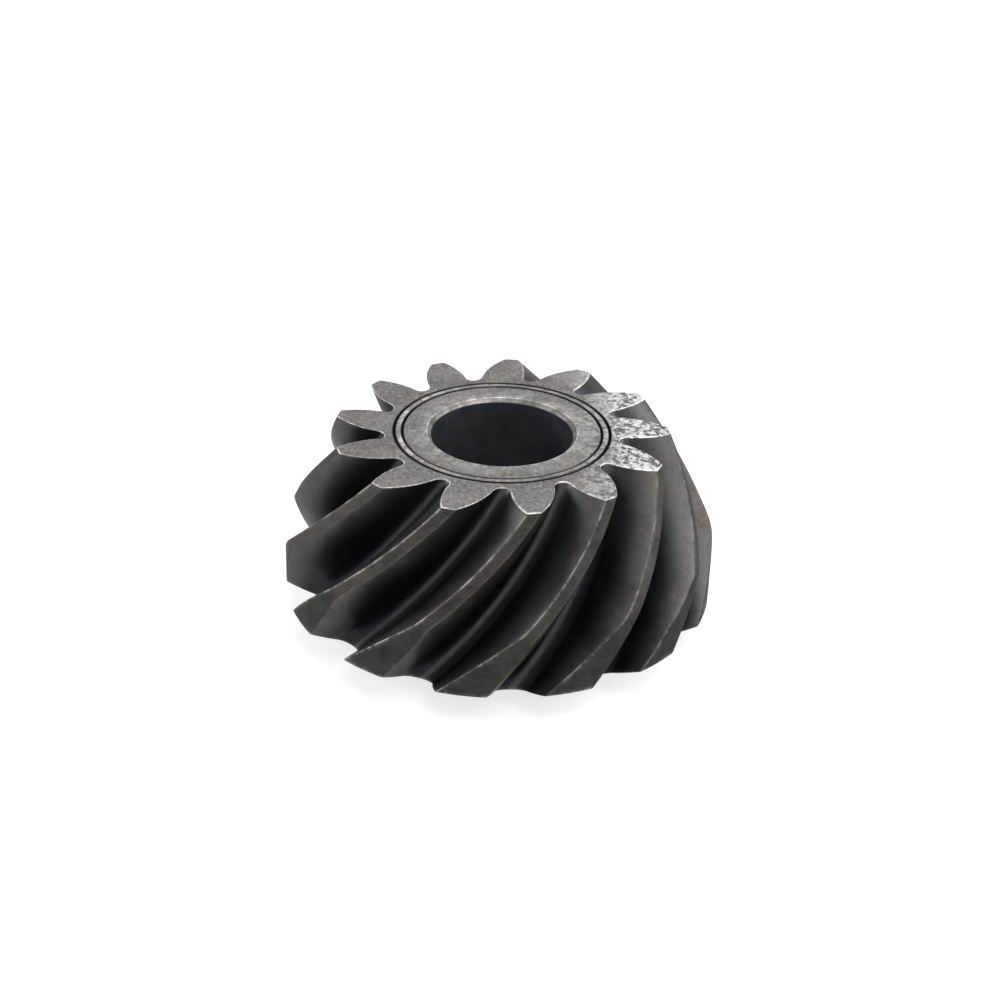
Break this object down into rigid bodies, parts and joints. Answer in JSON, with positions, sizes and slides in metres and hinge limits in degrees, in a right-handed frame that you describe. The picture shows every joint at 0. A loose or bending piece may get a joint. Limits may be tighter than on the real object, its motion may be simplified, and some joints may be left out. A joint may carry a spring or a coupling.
{
  "type": "spiral bevel pinion",
  "caption": "Conical helical pinion gear with right-hand spiral teeth, a grooved ring on its small-end face and a plain bore through a pressed-in sleeve.",
  "frame": {"origin": "centre of the flat back face at the large end, on the bore's axis", "axes": "+Z along the bore's axis, from the large end to the small end; +X through the centre of one tooth's tip on the small-end face"},
  "size_m": [0.0308, 0.0308, 0.0145],
  "materials": {
    "gear_steel": "dark oiled case-hardened steel, ground tooth lands and end face, dark machined flanks",
    "sleeve_steel": "turned steel, fine concentric marks on its end face, dark bore"
  },
  "bodies": {
    "root": {"pinion_gear": "gear_steel", "bore_sleeve": "sleeve_steel"}
  },
  "joints": []
}
